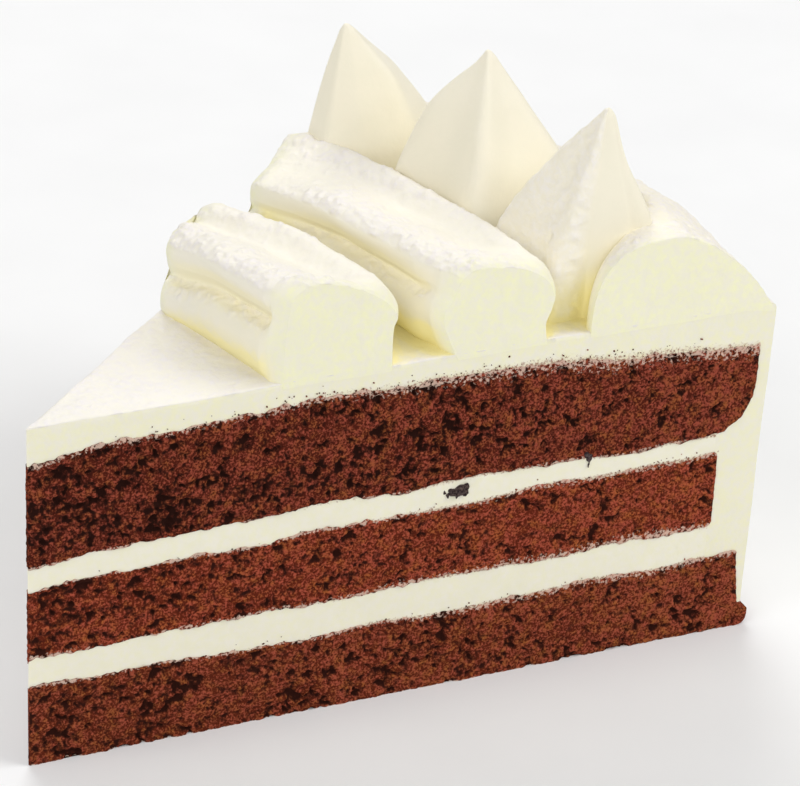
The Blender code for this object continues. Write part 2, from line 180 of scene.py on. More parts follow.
# Three pulled peaks: place of the tip, and ridges by their direction in degrees. Each ridge gives how far out it
# lies, in mm, at the depths of PEAK_DEPTHS. One peak has a folded lip, and a side that icing sugar clings to.
PEAK_DEPTHS = (0, 2, 8, 18, 32)
PEAKS = {
    "cream_peak_front": dict(
        radius=86.1 * MM, v=0.126, top=82.3 * MM,
        ridges={135: (0, 1.7, 7.6, 15.4, 22), 203: (0, 0.9, 3.4, 7.6, 11.5), 331: (0, 0.8, 2.7, 7.4, 9.4),
            405: (0, 1.4, 5.6, 12.4, 15)},
        lip=dict(middle=268, width=62, reach=5.4 * MM, softness=1.6 * MM), dusted=dict(middle=160, width=62)
    ),
    "cream_peak_middle": dict(
        radius=84.3 * MM, v=0.507, top=82.5 * MM,
        ridges={135: (0, 1.2, 8.2, 13, 16.5), 225: (0, 1.3, 6, 12, 17), 315: (0, 1.5, 6.1, 13.4, 20),
            405: (0, 1.5, 5.6, 10.6, 15)}
    ),
    "cream_peak_back": dict(
        radius=83.4 * MM, v=0.893, top=80 * MM,
        ridges={135: (0, 0.7, 2.7, 5.2, 8.5), 185: (0, 0.8, 3.1, 6.3, 10), 238: (0, 0.9, 3.5, 6.6, 10.4),
            288: (0, 1.9, 7.2, 10.8, 14.6), 335: (0, 2.1, 8.8, 17, 25), 405: (0, 1.4, 5.4, 10.5, 14)}
    ),
}
PEAK_FENCES = (0.004, 0.31, 0.7, 0.996)
PEAK_HOLLOW = 0.1
PEAK_TIP_ROUNDING = 0.5 * MM
PEAK_FOOT = 0.4 * MM

# Uneven surface of the cream: how high its swells are, how wide, and their seed
ROPE_SWELL = (0.25 * MM, 5.5 * MM, 81)
BORDER_SWELL = (0.3 * MM, 7 * MM, 91)
PEAK_SWELL = (0.1 * MM, 4 * MM, 101)
WALL_SWELL = (0.22 * MM, 15 * MM, 61)
TOP_SWELL = (0.12 * MM, 6 * MM, 62)
CUT_SWELLS = ((0.025 * MM, 2.3 * MM, 5), (0.025 * MM, 0.9 * MM, 6))

# Loose crumbs: the face that they lie above, how far they spread, and how many there are
LOOSE_CRUMBS = ((TOP_SPONGE_TOP, 1.3 * MM, 300), (MIDDLE_SPONGE_TOP, 0.7 * MM, 70), (BOTTOM_SPONGE_TOP, 0.7 * MM, 60))

# Crumbs dragged into the upper filling: radius and height in mm, size, how long, and tilt
DRAGGED_CRUMBS = (
    (61.8, 31.1, 0.72, 1.1, 10), (62.8, 31.3, 0.85, 1.1, -20), (63.5, 30.9, 0.6, 1, 30), (62.5, 30.6, 0.5, 1.3, 0),
    (63.6, 31.8, 0.45, 1.2, 40), (60.5, 31.3, 0.24, 2.2, 70), (60.9, 30.9, 0.26, 1.9, 100),
    (61.2, 31.5, 0.3, 1.4, 30), (82.3, 32.9, 0.42, 1.7, 85), (82.5, 31.8, 0.28, 2.4, 95), (82, 33.4, 0.4, 1.2, 20),
)

# Colours of the crumb: painted shade in its pores and its darker tone, its body, where it is light, and where it is
# light and warm
CRUMB_COLOURS = {
    "crumb_top": ((0.022, 0.007, 0.005), (0.075, 0.013, 0.007), (0.32, 0.068, 0.04), (0.31, 0.09, 0.028)),
    "crumb_middle": ((0.032, 0.009, 0.006), (0.11, 0.018, 0.008), (0.4, 0.082, 0.046), (0.38, 0.105, 0.03)),
    "crumb_bottom": ((0.032, 0.009, 0.006), (0.1, 0.018, 0.008), (0.36, 0.08, 0.044), (0.34, 0.105, 0.03)),
    "dragged_crumb": ((0.016, 0.012, 0.013), (0.035, 0.024, 0.025), (0.1, 0.075, 0.075), (0.12, 0.085, 0.07)),
}
FLECK = (0.76, 0.55, 0.44)

# Colours of the cream: cut, elsewhere and under icing sugar. The last number is its roughness
CREAM_COLOURS = {
    "coat_cream": ((0.88, 0.85, 0.59), (0.89, 0.85, 0.74), (0.855, 0.815, 0.8), 0.6),
    "filling_cream": ((0.89, 0.86, 0.655), (0.89, 0.84, 0.69), (0.9, 0.865, 0.81), 0.6),
    "piped_cream": ((0.91, 0.895, 0.59), (0.9, 0.855, 0.73), (0.87, 0.825, 0.79), 0.6),
    "border_cream": ((0.91, 0.895, 0.6), (0.9, 0.85, 0.69), (0.865, 0.82, 0.785), 0.6),
    "peak_cream": ((0.9, 0.85, 0.69), (0.91, 0.855, 0.7), (0.91, 0.87, 0.8), 0.45),
}
CREAM_CLOUD = (0.94, 0.965, 0.95)
# Painted shade: warm yellow for cream between walls, in creases and under a peak's lip
CREAM_PAINTED_SHADE = (0.99, 0.9, 0.45)
CREAM_TINGE = (0.66, 0.52, 0.36)
SMEARED_CRUMB = (0.3, 0.13, 0.075)


# Polar form

def at_share(values, share):
    """The smooth curve through three values at shares 0, 0.5 and 1."""
    low, middle, high = values
    bend = 2 * (low + high - 2 * middle)
    return low + (high - low - bend) * share + bend * share * share


def between(first, last, share):
    """What lies at a share of the way from first to last."""
    return first + (last - first) * share


def face_at(values, r, v):
    """Height of a face between layers, with its waves."""
    if values == BASE:
        return np.zeros(np.broadcast(r, v).shape)
    seed = values[1] / MM
    swing = 0.0
    for length, share, turn, skew in WAVES:
        swing = swing + share * np.sin(2 * math.pi * r / length + turn * seed + skew * v)
    calm = COAT_CALM if values == COAT_TOP else 1
    return at_share(values, r / SLICE_RADIUS) + calm * WAVE_HEIGHT * swing


def place(r, v, z):
    """Points in the slice's own frame from their polar form."""
    angle = (v - 0.5) * SLICE_ANGLE
    return np.stack(np.broadcast_arrays(CENTRE_X + r * np.cos(angle), r * np.sin(angle), z), axis=-1)


def held(value):
    """The value, held between 0 and 1."""
    return np.clip(value, 0, 1)


def smooth(value, low, high):
    """0 below low, 1 above high, and an even curve between."""
    share = held((value - low) / (high - low))
    return share * share * (3 - 2 * share)


def off_cut(v, r):
    """How far points lie from the nearer cut, along their ring."""
    return np.minimum(v, 1 - v) * r * SLICE_ANGLE


def out_of_cut(v):
    """The outward direction of the cuts at v 0 and v 1, and nothing between."""
    angle = (v - 0.5) * SLICE_ANGLE
    side = np.where(v < AT_CUT, -1.0, np.where(v > 1 - AT_CUT, 1.0, 0.0))
    return np.stack([-np.sin(angle) * side, np.cos(angle) * side, np.zeros_like(side)], axis=-1)


# Uneven patterns

STIR = (374761393, 668265263, 2246822519, 3266489917)
LEAN = ((0.9, 1.7), (0.4, 2.3), (0, 1.3))  # lean of the cells round each axis, and more by the seed


def chance(cells, seed):
    """An even random number from 0 to 1 for each cell."""
    cells = cells.astype(np.int64).astype(np.uint32)
    first, second, third, fourth = (np.uint32(n) for n in STIR)
    mixed = cells[..., 0] * first + cells[..., 1] * second
    mixed = mixed + cells[..., 2] * third + np.uint32(seed * STIR[3] % 2**32)
    for shift, factor in ((15, third), (13, fourth)):
        mixed = (mixed ^ (mixed >> np.uint32(shift))) * factor
    return (mixed ^ (mixed >> np.uint32(16))).astype(np.float64) / 2**32


def swell(points, size, seed):
    """Soft random swells from -1 to 1, one swell about every size."""
    lean = Euler([first + more * seed for first, more in LEAN]).to_matrix()
    scaled = points @ np.array(lean) / size
    corner = np.floor(scaled)
    inside = scaled - corner
    inside = inside * inside * (3 - 2 * inside)
    total = np.zeros(len(points))
    for step in np.ndindex(2, 2, 2):
        share = np.prod(np.where(np.array(step) == 1, inside, 1 - inside), axis=1)
        total += share * chance(corner + np.array(step), seed)
    return 2 * total - 1


def wave(points, height, size, seed):
    """Swells of such a height."""
    return height * swell(points, size, seed)


def swells(points, size, seed):
    """Swells in all three directions."""
    return np.stack([swell(points, size, seed + axis) for axis in range(3)], axis=-1)


def grains(points, size, seed):
    """How far each point is from the middle of its grain, and a number for that grain."""
    scaled = points / size
    corner = np.floor(scaled)
    best = np.full(len(points), np.inf)
    number = np.zeros(len(points))
    for step in np.ndindex(3, 3, 3):
        cell = corner + np.array(step) - 1
        spot = cell + np.stack([chance(cell, seed + axis) for axis in range(3)], axis=-1)
        distance = np.linalg.norm(scaled - spot, axis=1)
        nearer = distance < best
        best = np.where(nearer, distance, best)
        number = np.where(nearer, chance(cell, seed + 7), number)
    return best, number


# Mesh stock

def block(counts):
    """A cube from 0 to 1, cut into so many pieces along X, Y and Z."""
    shape = bmesh.new()
    bmesh.ops.create_cube(shape, size=1)
    bmesh.ops.translate(shape, vec=(0.5, 0.5, 0.5), verts=shape.verts)
    for axis, count in enumerate(counts):
        along = [e for e in shape.edges if abs(e.verts[0].co[axis] - e.verts[1].co[axis]) > 1e-6]
        if count > 1:
            bmesh.ops.subdivide_edges(shape, edges=along, cuts=count - 1, use_grid_fill=True)
    return shape


def piece_from(shape, name, look):
    """A named object from a bmesh, with one material."""
    mesh = bpy.data.meshes.new(name)
    shape.to_mesh(mesh)
    shape.free()
    mesh.materials.append(look)
    made = bpy.data.objects.new(name, mesh)
    bpy.context.scene.collection.objects.link(made)
    return made


def points_of(piece, kind="co"):
    """The piece's points, one row each, or which way the surface looks there."""
    values = np.empty(len(piece.data.vertices) * 3, np.float32)
    piece.data.vertices.foreach_get(kind, values)
    return values.reshape(-1, 3).astype(np.float64)


def move_points(piece, points):
    """Puts the piece's points where they belong."""
    piece.data.vertices.foreach_set("co", np.ascontiguousarray(points, np.float32).ravel())
    piece.data.update()


def paint(piece, name, values):
    """Keeps a number for each point."""
    mark = piece.data.attributes.new(name, "FLOAT", "POINT")
    mark.data.foreach_set("value", np.ascontiguousarray(values, np.float32))


def mark_of(piece, name):
    """The numbers that were painted on a piece."""
    values = np.empty(len(piece.data.vertices), np.float32)
    piece.data.attributes[name].data.foreach_get("value", values)
    return values


def turn_out(piece, edge=180):
    """Turns all faces outwards and shades them smooth, but for sharper edges."""
    shape = bmesh.new()
    shape.from_mesh(piece.data)
    bmesh.ops.recalc_face_normals(shape, faces=shape.faces)
    if shape.calc_volume(signed=True) < 0:
        bmesh.ops.reverse_faces(shape, faces=shape.faces)
    shape.to_mesh(piece.data)
    shape.free()
    piece.data.shade_smooth()
    if edge < 180:
        piece.data.set_sharp_from_angle(angle=math.radians(edge))


def hand_over(piece, slot, *nodes):
    """The piece stands for its CAD nodes and moves with the slice."""
    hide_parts(*nodes)
    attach(piece, "root")


def stock(name, look, counts, crowding):
    """A piece cut from a cube, and its points' three shares, of which v is crowded at both cuts."""
    piece = piece_from(block(counts), "slice_" + name, look)
    x, v, z = points_of(piece).T
    return piece, x, v - crowding * np.sin(2 * math.pi * v) / (2 * math.pi), z


# Sponge

def round_corner(inset, share):
    """How far a rounded corner lies in, at a share of its height."""
    return inset * (1 - np.sqrt(1 - (1 - held(share)) ** 2))


def bottom_end(level):
    """The bottom sponge widens downwards to a round-edged foot."""
    height = level * BOTTOM_SPONGE_TOP[2]
    side = BOTTOM_SPONGE_RADIUS + FOOT_SPREAD * (1 - smooth(height, 0, BOTTOM_SPONGE_TOP[2]))
    foot = 1 - smooth(height, *FOOT_SHOULDER)
    under = round_corner(FOOT_ROUNDING, height / FOOT_ROUNDING)
    top_corner = round_corner(BOTTOM_SPONGE_CORNER, (BOTTOM_SPONGE_TOP[2] - height) / BOTTOM_SPONGE_CORNER)
    return side + (FOOT_RADIUS - side) * foot - under - top_corner


def middle_end(level):
    """The middle sponge ends in two softly rounded corners."""
    thickness = MIDDLE_SPONGE_TOP[2] - MIDDLE_SPONGE_BOTTOM[2]
    return MIDDLE_SPONGE_RADIUS - round_corner(SOFT_CORNER, np.minimum(level, 1 - level) * thickness / SOFT_CORNER)


def top_end(level):
    """The top sponge has the wide round corner of its tin."""
    inwards, upwards = TOP_SPONGE_CORNER
    height = level * (TOP_SPONGE_TOP[2] - TOP_SPONGE_BOTTOM[2])
    return TOP_SPONGE_RADIUS - round_corner(inwards, height / upwards)


def crumb_relief(points, seed):
    """How far open crumb stands out, and how dark it is painted, from 0 to 1: painted shade, darker where the crumb
    lies lower and most in its pores and pits, which also serves as its darker tone.
    """
    depth, size = CRUMB_BEND
    bent = points + depth * swells(points, size, seed)
    flat = bent * CRUMB_FLATNESS
    layers = [swell(where, size, seed + own) for where, size, own in zip(
        (flat, flat, flat, bent), CRUMB_SIZES, (11, 12, 14, 13))]
    medium, small, fine = layers[1:]
    body = sum(share * layer for share, layer in zip(CRUMB_BODY, layers))
    hole = smooth(-body, 0.12, 0.5)
    relief = sum(lift * layer for lift, layer in zip(CRUMB_LIFT, layers)) - PORE_DEPTH * hole
    # Painted shade: darker where the crumb lies lower, most in pores and pits
    pore_shade_and_tone = 0.26 - 0.85 * body - 0.34 * small - 0.42 * fine
    apart, share, least, more, depth = PITS
    distance, number = grains(flat, apart, seed + 31)
    reach = (least + more * held((share - number) / share)) * (1 + 0.5 * medium)
    pit = np.where(number < share, 1 - smooth(distance, reach * 0.3, reach), 0)
    relief -= depth * pit
    pore_shade_and_tone = np.maximum(pore_shade_and_tone, np.maximum(0.9 * hole, pit))
    relief += wave(points, *CRUMB_SAG, seed + 41)
    return relief, held(pore_shade_and_tone)


def spread_out(r, spread):
    """How far cream and crumb were dragged over each other: less near the point."""
    least, reaches = spread
    return least + (1 - least) * smooth(r, *reaches)


def sponge(name, look, bottom, top, end_radius, counts, seed, frost, band=0):
    """A layer of sponge whose cuts show open crumb and whose edges are ragged.

    Frost gives how far from its top and its bottom the knife left flecks of cream. Band is how much darker the crumb
    is a little above its bottom, near the point.
    """
    piece, u, v, w = stock(name, look, counts, LAYER_CROWDING)
    end = end_radius(w)
    r = between(TIP_RADIUS, end, u)
    spot = place(r, v, np.zeros_like(r))
    ragged_low, ragged_high = (
        sum(wave(spot + np.array([0, 0, layer + seed]), depth, size, seed + own) for depth, size, own in RAGGED)
        for layer in (0.3, 0.6)
    )
    into = BITE - RAGGED_MARGIN
    low, high = face_at(bottom, r, v), face_at(top, r, v)
    low_edge = low + (np.minimum(ragged_low, into) if bottom != BASE else 0)
    z = between(low_edge, high + np.maximum(ragged_high, -into), w)
    points = place(r, v, z)
    turned = out_of_cut(v)
    on_cut = np.abs(turned).sum(axis=1) > 0
    relief = np.zeros(len(points))
    pore_shade_and_tone = np.full(len(points), 0.3)
    relief[on_cut], pore_shade_and_tone[on_cut] = crumb_relief(points[on_cut], seed)
    inside = end - r - BITE
    if bottom != BASE:
        inside = np.minimum(inside, z - low - BITE)
    inside = np.minimum(inside, high - z - BITE)
    relief = np.maximum(relief, -INSIDE_DEPTH[0] - INSIDE_DEPTH[1] * smooth(inside, 0.1 * MM, 1.0 * MM))
    room = 0.2 * r * SLICE_ANGLE
    points += turned * np.clip(relief, -room, room)[:, None]
    if bottom == BASE:
        points[:, 2] = np.maximum(points[:, 2], 0)
    move_points(piece, points)
    turn_out(piece)
    begun, ended, far_out = (smooth(way, *span) for way, span in zip((w, w, r), DARKER_BAND))
    # Keeps the painted shade of the pores and the crumb's darker tone, with the darker band
    paint(piece, "pore_shade_and_tone", pore_shade_and_tone + band * (begun * (1 - ended) * (1 - far_out)))
    more = spread_out(r, FROST_SPREAD)
    gap = np.minimum((high - z) / (frost[0] * more), (z - low) / (frost[1] * more))
    paint(piece, "frost", np.where(on_cut, 1 - held(gap), 0))
    hand_over(piece, name, name)


# Cream

def lay_cut(piece, points, v, recess):
    """Puts a piece of cream in place, with its cuts drawn back by the recess and a little uneven."""
    r = np.hypot(points[:, 0] - CENTRE_X, points[:, 1])
    reach = np.minimum(6 * recess, 0.5 * r * SLICE_ANGLE)
    share = held(1 - off_cut(v, r) / reach)
    turned = out_of_cut(np.where(share > 0, np.round(v), 0.5))
    uneven = sum(wave(points, *one) for one in CUT_SWELLS)
    move_points(piece, points + turned * (share * (uneven - recess))[:, None])
    turn_out(piece, CREAM_EDGE)


def powder_on(piece, most, lift, seed, always=0, lift_there=0):
    """Icing sugar lies on what looks up and raises the surface in grains.

    It lies in patches. Where always is above 0, it also clings to a side.
    """
    points = points_of(piece)
    up = points_of(piece, "normal")
    lies = smooth(up[:, 2], *SUGAR_SLOPES) * most
    patch = swell(points, SUGAR_PATCH, seed + 2)
    grain = sum(wave(points, share, size, seed + own) for share, size, own in SUGAR_GRAINS)
    lies = held(np.maximum(lies * (0.82 + 0.35 * grain + 0.4 * patch), always * (1 + 0.4 * grain)))
    move_points(piece, points + up * (np.maximum(lift * lies, lift_there * always) * grain)[:, None])
    paint(piece, "powder", lies)


def cut_mark(piece, near_cut, run=0.02 * MM):
    """Keeps how much each point belongs to a cut, whose look may run a little round its edge."""
    paint(piece, "cut", 1 - smooth(near_cut, 0.01 * MM, run))


def smear_mark(piece, r, v, gap, spread):
    """Keeps how much fine crumb the knife left on a cut, most of it beside the sponge."""
    smeared = (1 - held(gap / spread)) * spread_out(r, SMEAR_SPREAD)
    paint(piece, "smear", np.where(np.minimum(v, 1 - v) < AT_CUT, smeared, 0))


def softened(heights):
    """A height map with its steps softened."""
    share = np.exp(-np.arange(-3.0, 4) ** 2)
    share /= share.sum()
    for axis in (0, 1):
        heights = np.apply_along_axis(lambda row: np.convolve(row, share, mode="same"), axis, heights)
    return heights


def height_at(heights, spots):
    """The map's height at spots between its cells."""
    first = np.clip(np.floor(spots).astype(int), 0, np.array(heights.shape) - 2)
    x, y = first.T
    part_x, part_y = held(spots - first).T
    near_side = heights[x, y] * (1 - part_x) + heights[x + 1, y] * part_x
    far_side = heights[x, y + 1] * (1 - part_x) + heights[x + 1, y + 1] * part_x
    return near_side * (1 - part_y) + far_side * part_y


def height_map(clouds):
    """A map of how high the cream lies, and its first corner."""
    every = np.concatenate(clouds)[:, :2]
    corner = every.min(axis=0) - MAP_EDGE * MAP_CELL
    size = np.ceil((every.max(axis=0) - corner) / MAP_CELL).astype(int) + MAP_EDGE
    tops = np.zeros(size)
    for points in clouds:
        spots = ((points[:, :2] - corner) / MAP_CELL).astype(int)
        np.maximum.at(tops, (spots[:, 0], spots[:, 1]), points[:, 2])
    beside = [np.roll(tops, step, axis=(0, 1)) for step in ((1, 0), (-1, 0), (0, 1), (0, -1))]
    return softened(np.maximum(tops, np.max(beside, axis=0))), corner


def between_walls(tops, spots, z):
    """How far each point lies between two walls, from 0 to 1."""
    steep = []
    for turn in np.arange(8) * math.pi / 4:
        way = np.array([math.cos(turn), math.sin(turn)])
        rises = [(height_at(tops, spots + reach * way) - z) / (reach * MAP_CELL) for reach in MAP_REACHES]
        steep.append(np.max(rises, axis=0))
    walls = [smooth(np.minimum(here, across), *WALL_SLOPES) for here, across in zip(steep[:4], steep[4:])]
    return held(WALL_GAIN * np.mean(walls, axis=0))


def paint_shade_in_hollows(pieces):
    """Keeps painted shade for each point: how deep it lies between walls of cream, darker in creases at the feet of
    piped cream and under a peak's lip.
    """
    clouds = [points_of(piece) for piece in pieces]
    tops, corner = height_map(clouds)
    for piece, points in zip(pieces, clouds):
        spots = (points[:, :2] - corner) / MAP_CELL - 0.5
        out, across, z = points[:, 0] - CENTRE_X, points[:, 1], points[:, 2]
        r, v = np.hypot(out, across), np.arctan2(across, out) / SLICE_ANGLE + 0.5
        above = z - face_at(COAT_TOP, r, v)
        painted_shade = between_walls(tops, spots, z)
        if "coat" in piece.name:
            painted_shade = painted_shade * (r > ring_middle(INNER_ROPE, v))
        elif "peak" in piece.name:
            painted_shade = np.maximum(painted_shade * (1 - smooth(above, 3 * MM, 9 * MM)), 0.4 * mark_of(piece, "under_lip_shade"))
        else:
            painted_shade = painted_shade * (1 - 0.65 * smooth(above, 3 * MM, 5 * MM))
            # Painted shade in the crease at the foot of piped cream
            crease_shade = smooth(height_at(tops, spots) - z, 3 * MM, 6 * MM) * (1 - smooth(above, 0.2 * MM, 0.7 * MM))
            painted_shade = np.maximum(painted_shade, 0.8 * crease_shade)
        paint(piece, "painted_shade", np.where(z > PAINTED_SHADE_ABOVE, painted_shade * (1 - mark_of(piece, "cut")), 0))


def filling(name, look, bottom, top):
    """A layer of cream that reaches into the ragged edges of two sponges."""
    piece, u, v, w = stock(name, look, (260, 12, 14), LAYER_CROWDING)
    r = between(TIP_RADIUS, FILLING_RADIUS + BITE, u)
    low = face_at(bottom, r, v) - BITE
    high = face_at(top, r, v) + BITE
    lay_cut(piece, place(r, v, between(low, high, w)), v, FILLING_RECESS)
    cut_mark(piece, off_cut(v, r))
    smear_mark(piece, r, v, np.minimum(w, 1 - w) * (high - low) - BITE, 0.6 * MM)
    paint(piece, "powder", np.zeros(len(v)))
    hand_over(piece, name, name)


def covered(r, v):
    """1 where piped cream lies on the coat, 0 where the coat is bare."""
    total = smooth(r, border_inner(v) - 0.2 * MM, border_inner(v) + 0.4 * MM)
    for sizes in (INNER_ROPE, OUTER_ROPE):
        off = np.abs(r - ring_middle(sizes, v))
        total = np.maximum(total, 1 - smooth(off, sizes["half_width"] - 0.6 * MM, sizes["half_width"]))
    return total


def coat_inner_line(v):
    """Rows of radii and heights down the inner side of the wall of cream."""
    rows = []
    for level in (0.95, 0.85, 0.6, 0.4, 0.2, 0.08):
        r = top_end(level) - BITE
        rows.append((r, between(face_at(TOP_SPONGE_BOTTOM, r, v), face_at(TOP_SPONGE_TOP, r, v), level)))
    r = FILLING_RADIUS - BITE
    rows.append((r, face_at(TOP_SPONGE_BOTTOM, r, v) + BITE * 0.5))
    rows.append((r, face_at(BOTTOM_SPONGE_TOP, r, v) - BITE))
    for level in (1, 0.7, 0.45, FOOT_HEIGHT / BOTTOM_SPONGE_TOP[2]):
        r = bottom_end(min(level, 0.95)) - BITE
        high = face_at(BOTTOM_SPONGE_TOP, r, v) - BITE
        rows.append((r, FOOT_HEIGHT + (high - FOOT_HEIGHT) * (level - 0.29) / 0.71))
    return [(np.full_like(v, r), z) for r, z in rows]


def along_rows(rows, down):
    """Radius and height at a share of the way down such rows."""
    marks = np.concatenate([[0], np.cumsum([
        math.hypot(b[0].mean() - a[0].mean(), b[1].mean() - a[1].mean()) for a, b in zip(rows, rows[1:])
    ])])
    marks /= marks[-1]
    line_r, line_z = np.zeros_like(down), np.zeros_like(down)
    for low_mark, high_mark, here, after in zip(marks, marks[1:], rows, rows[1:]):
        span = (down >= low_mark) & (down <= high_mark)
        part = (down - low_mark) / max(high_mark - low_mark, 1e-9)
        line_r = np.where(span, between(here[0], after[0], part), line_r)
        line_z = np.where(span, between(here[1], after[1], part), line_z)
    return line_r, line_z


def coat(look):
    """The cream over the top and down the rim: a folded band from cut to cut."""
    tip_steps, top_steps, wall_steps = 110, 230, 70
    tip_end = 0.34  # share of the radius where the finer steps end
    corner_part = 0.05  # share of the wall that is its upper corner
    steps = tip_steps + top_steps + wall_steps
    piece, u, v, w = stock("cream_coat", look, (steps, 100, 8), LAYER_CROWDING)
    step = u * steps
    share = np.interp(step, (0, tip_steps, tip_steps + top_steps), (0, tip_end, 1))
    down = held((step - tip_steps - top_steps) / wall_steps)
    wall = down > 0

    inner_r = between(TIP_RADIUS, TOP_SPONGE_RADIUS - BITE, share)
    inner_z = face_at(TOP_SPONGE_TOP, inner_r, v) - BITE
    rows = [(np.full_like(v, TOP_SPONGE_RADIUS - BITE), inner_z)] + coat_inner_line(v)
    line_r, line_z = along_rows(rows, down)
    inner_r, inner_z = np.where(wall, line_r, inner_r), np.where(wall, line_z, inner_z)

    outer_r = between(TIP_RADIUS, SLICE_RADIUS - COAT_CORNER, share)
    outer_z = face_at(COAT_TOP, outer_r, v)
    top_z = face_at(COAT_TOP, SLICE_RADIUS, v)
    turn = held(down / corner_part) * math.pi / 2
    corner_r = SLICE_RADIUS - COAT_CORNER + COAT_CORNER * np.sin(turn)
    corner_z = top_z - COAT_CORNER * (1 - np.cos(turn))
    below = held((down - corner_part) / (1 - corner_part))
    wall_z = corner_z + (FOOT_HEIGHT + 0.1 * MM - (top_z - COAT_CORNER)) * below
    outer_r = np.where(wall, corner_r - COAT_TAPER * below, outer_r)
    outer_z = np.where(wall, wall_z, outer_z)

    uneven = place(outer_r, v, outer_z)
    outer_r = outer_r + np.where(wall, wave(uneven, *WALL_SWELL) - 0.1 * MM, 0)
    outer_z = outer_z + np.where(wall, 0, wave(uneven, *TOP_SWELL))
    near_cut = off_cut(v, np.maximum(outer_r, 4 * MM))
    length, depth = CUT_ROUNDING
    sink = round_corner(depth, near_cut / length) * w * (1 - covered(outer_r, v))
    outer_z = outer_z - np.where(wall, 0, sink)
    outer_r = outer_r - np.where(wall, sink, 0)
    lay_cut(piece, place(between(inner_r, outer_r, w), v, between(inner_z, outer_z, w)), v, COAT_RECESS)
    powder_on(piece, 0.9, 0.12 * MM, 71)
    cut_mark(piece, near_cut)
    smear_mark(piece, outer_r, v, np.where(wall, np.inf, w * (outer_z - inner_z) - BITE), 1.5 * MM)
    hand_over(piece, "cream_coat", "cream_coat")
    return piece


def box_outline(angle):
    """Across and up on a squarish half round, at an angle in degrees."""
    across = np.cos(np.radians(angle))
    up = np.maximum(np.sin(np.radians(angle)), 0)
    return np.copysign(np.abs(across) ** BORDER_BOXINESS, across), up ** BORDER_BOXINESS


def section(x, z, outline):
    """Spreads the unit square over a section: its base stays flat and its other sides follow the outline.

    The outline gives (across, up) at a share of the way from the outer foot over the top to the inner foot.
    """
    side = 0.34
    base_out, top_out, top_in, base_in = (outline(np.full_like(x, share)) for share in (0, side, 1 - side, 1))
    left, right = outline(1 - side * z), outline(side * z)
    top = outline(1 - side - (1 - 2 * side) * x)
    result = []
    for n in range(2):
        base = between(base_in[n], base_out[n], x)
        sides = left[n] * (1 - x) + right[n] * x
        ends = base * (1 - z) + top[n] * z
        corners = (base_in[n] * (1 - x) * (1 - z) + base_out[n] * x * (1 - z)
                   + top_in[n] * (1 - x) * z + top_out[n] * x * z)
        result.append(sides + ends - corners)
    return result


def ring_middle(sizes, v):
    """Radius of a rope's middle line, which sags inwards."""
    return between(sizes["near"], sizes["far"], v) - ROPE_SAG * 4 * v * (1 - v)


def blended_sections(sections, v):
    """The section's points at each v: (across, up), a row for each."""
    stands = sorted(sections)
    marks = np.array([sections[stand] for stand in stands]) * MM
    after = np.clip(np.searchsorted(stands, v, side="right"), 1, len(stands) - 1)
    before = after - 1
    stands = np.array(stands)
    share = smooth(v, stands[before], stands[after])[:, None, None]
    return marks[before] * (1 - share) + marks[after] * share


def along_curve(rows, share):
    """Points at a share of the way along the smooth curve through each row."""
    last = rows.shape[1] - 1
    at = held(share) * last
    first = np.minimum(np.floor(at).astype(int), last - 1)
    part = (at - first)[:, None]
    each = np.arange(len(rows))
    a, b, c, d = (rows[each, np.clip(first + step, 0, last)] for step in (-1, 0, 1, 2))
    bent = 2 * b + (c - a) * part + (2 * a - 5 * b + 4 * c - d) * part**2 + (3 * b - a - 3 * c + d) * part**3
    return bent / 2


def rope(name, look, sections, sizes):
    """A piped rope from cut to cut: two crests, a hollow between, and a grooved flank."""
    piece, x, v, z = stock(name, look, (100, 230, 56), ROPE_CROWDING)
    rows = blended_sections(sections, v)
    across, up = section(x, z, lambda share: along_curve(rows, share).T)
    middle = ring_middle(sizes, v)
    near_cut = off_cut(v, middle)
    length, depth = ROPE_ROUNDING
    trim = 1 - depth * (1 - held(near_cut / length)) ** 2 / sizes["half_width"]
    r = middle + across * trim
    up_share = held(up / (3 * MM))
    points = place(r, v, face_at(COAT_TOP, r, v) - PIPED_FOOT * (1 - up_share) + up * trim)
    points[:, 2] += wave(points, *ROPE_SWELL) * up_share * np.minimum(1, near_cut / (2 * MM))
    lay_cut(piece, points, v, PIPED_RECESS)
    crest = np.maximum(rows[:, 4, 1], rows[:, 6:8, 1].max(axis=1))
    thin = smooth(crest - up, 0.5 * MM, 1.8 * MM) * smooth(across, -6 * MM, -3 * MM)
    powder_on(piece, 1 - 0.65 * thin, 0.27 * MM, 83)
    cut_mark(piece, near_cut, 3.6 * MM)
    hand_over(piece, "cream_piped", name)
    return piece


def border_inner(v):
    """Inner side of the border: wide at the near cut, narrow behind the peaks."""
    return between(BORDER_INNER_AT_CUT, BORDER_INNER, smooth(v, *BORDER_NOTCH))


